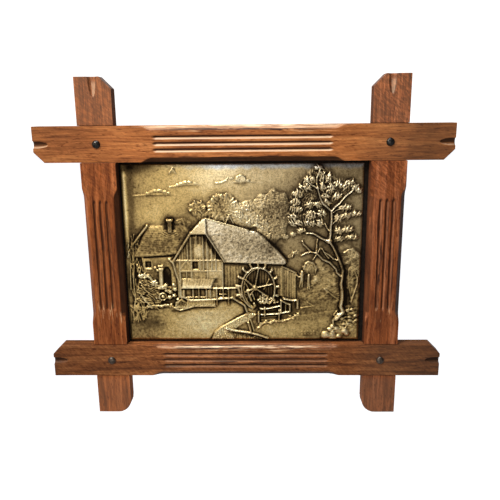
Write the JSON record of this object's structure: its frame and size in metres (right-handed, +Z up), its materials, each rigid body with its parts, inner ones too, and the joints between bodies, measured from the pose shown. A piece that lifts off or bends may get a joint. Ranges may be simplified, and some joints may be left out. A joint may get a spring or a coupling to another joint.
{
  "type": "framed relief plaque",
  "caption": "Cast metal wall plaque with a country watermill in relief, on a backing board in a lapped oak frame with overhanging, carved ends.",
  "frame": {"origin": "on the back face of the top rail, at the middle of its length and of its height, where the frame meets the wall", "axes": "+X to the right along the top rail, +Y from the front into the wall, +Z up"},
  "size_m": [0.42, 0.0176, 0.3599],
  "materials": {
    "oak": "stained reddish brown, waxed, satin",
    "plaque_metal": "antiqued, warm polished highs over dark recesses",
    "nails": "dark bronzed, smooth domes",
    "board": "dark hardboard, matt"
  },
  "bodies": {
    "root": {"top_rail": "oak", "bottom_rail": "oak", "left_stile": "oak", "right_stile": "oak", "relief_plaque": "plaque_metal", "backing_board": "board", "nail_top_left": "nails", "nail_top_right": "nails", "nail_bottom_left": "nails", "nail_bottom_right": "nails"}
  },
  "joints": []
}
